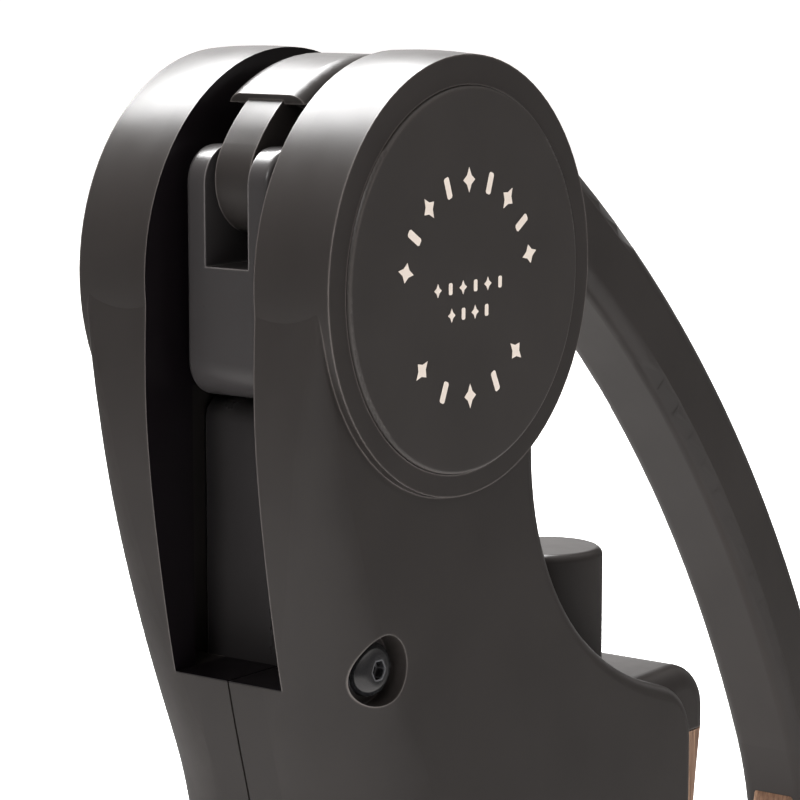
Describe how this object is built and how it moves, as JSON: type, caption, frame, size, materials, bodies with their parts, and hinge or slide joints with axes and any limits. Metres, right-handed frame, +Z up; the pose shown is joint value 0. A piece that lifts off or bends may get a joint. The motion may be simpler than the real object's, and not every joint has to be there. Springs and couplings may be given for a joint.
{
  "type": "lever corkscrew",
  "caption": "Countertop lever corkscrew: two satin dark shells with a round head, an arched lever with wood inlay, a thumb-button neck clamp and a worm driven down through a carriage.",
  "frame": {"origin": "centre of the bottle bore's mouth, on the plane the corkscrew stands on", "axes": "+Z up along the worm and the bottle bore, +X towards the grip and the lever's arch, Y across the two shells"},
  "size_m": [0.1694, 0.0442, 0.1754],
  "materials": {
    "satin_body": "satin dark gunmetal coating on die-cast aluminium",
    "satin_disc": "satin dark coating with a pale printed ornament",
    "satin_link": "satin dark coating on steel",
    "steel": "ground steel",
    "black_screw": "glossy black oxide",
    "brass": "turned bronze",
    "dark_plastic": "matte acetal",
    "rubber": "matte",
    "wood": "oiled walnut, fine grain",
    "dark_worm": "non-stick coated steel wire"
  },
  "bodies": {
    "body": {"shell_near": "satin_body", "shell_far": "satin_body", "medallion_near": "satin_disc", "medallion_far": "satin_disc", "pivot_axle": "steel", "axle_spacers": "brass", "guide_rail": "dark_plastic", "rail_screw": "black_screw", "shell_bolts": "black_screw", "bolt_inserts": "brass", "bottle_collar": "dark_plastic", "worm_guide": "dark_plastic", "grip_core": "satin_body", "grip_wood": "wood", "grip_dowels": "steel", "foot_pad": "rubber"},
    "lever": {"lever_arm": "satin_body", "lever_wood": "wood", "hub_bush": "brass", "crank_pin": "steel"},
    "rod": {"connecting_rod": "satin_link", "wrist_pin": "steel"},
    "carriage": {"carriage": "satin_link", "carriage_glides": "dark_plastic", "thrust_washer": "brass", "worm_retainer": "steel"},
    "worm": {"worm": "dark_worm", "worm_shank": "steel"},
    "button": {"thumb_button": "satin_body", "button_spring": "steel"},
    "jaw": {"clamp_jaw": "steel", "jaw_pad": "rubber"}
  },
  "joints": [
    {"name": "lever_hinge", "type": "hinge", "parent": "body", "child": "lever", "pos_m": [0, 0, 0.145], "axis": [0, -1, 0], "range_deg": [0, 95]},
    {"name": "rod_pivot", "type": "hinge", "parent": "lever", "child": "rod", "pos_m": [-0.0156, 0, 0.1584], "axis": [0, -1, 0], "range_deg": [-95.5, 0.5]},
    {"name": "carriage_slide", "type": "slide", "parent": "body", "child": "carriage", "axis": [0, 0, -1], "range_m": [-0.0002, 0.0312]},
    {"name": "worm_spin", "type": "hinge", "parent": "carriage", "child": "worm", "pos_m": [0, 0, 0.0962], "axis": [0, 0, -1], "range_deg": [-3, 1083]},
    {"name": "button_press", "type": "slide", "parent": "body", "child": "button", "axis": [0, 0, -1], "range_m": [0, 0.003], "stiffness_N_per_m": 600, "springref_m": -0.002, "deforming": ["button_spring"]},
    {"name": "jaw_slide", "type": "slide", "parent": "body", "child": "jaw", "axis": [-1, 0, 0], "range_m": [-0.0001, 0.0031]}
  ],
  "couplings": [
    {"joint": "rod_pivot", "follows": "lever_hinge", "ratio": -1},
    {"joint": "carriage_slide", "follows": "lever_hinge", "m_per_rad": 0.018621},
    {"joint": "worm_spin", "follows": "lever_hinge", "ratio": 11.368},
    {"joint": "jaw_slide", "follows": "button_press", "ratio": 1}
  ]
}
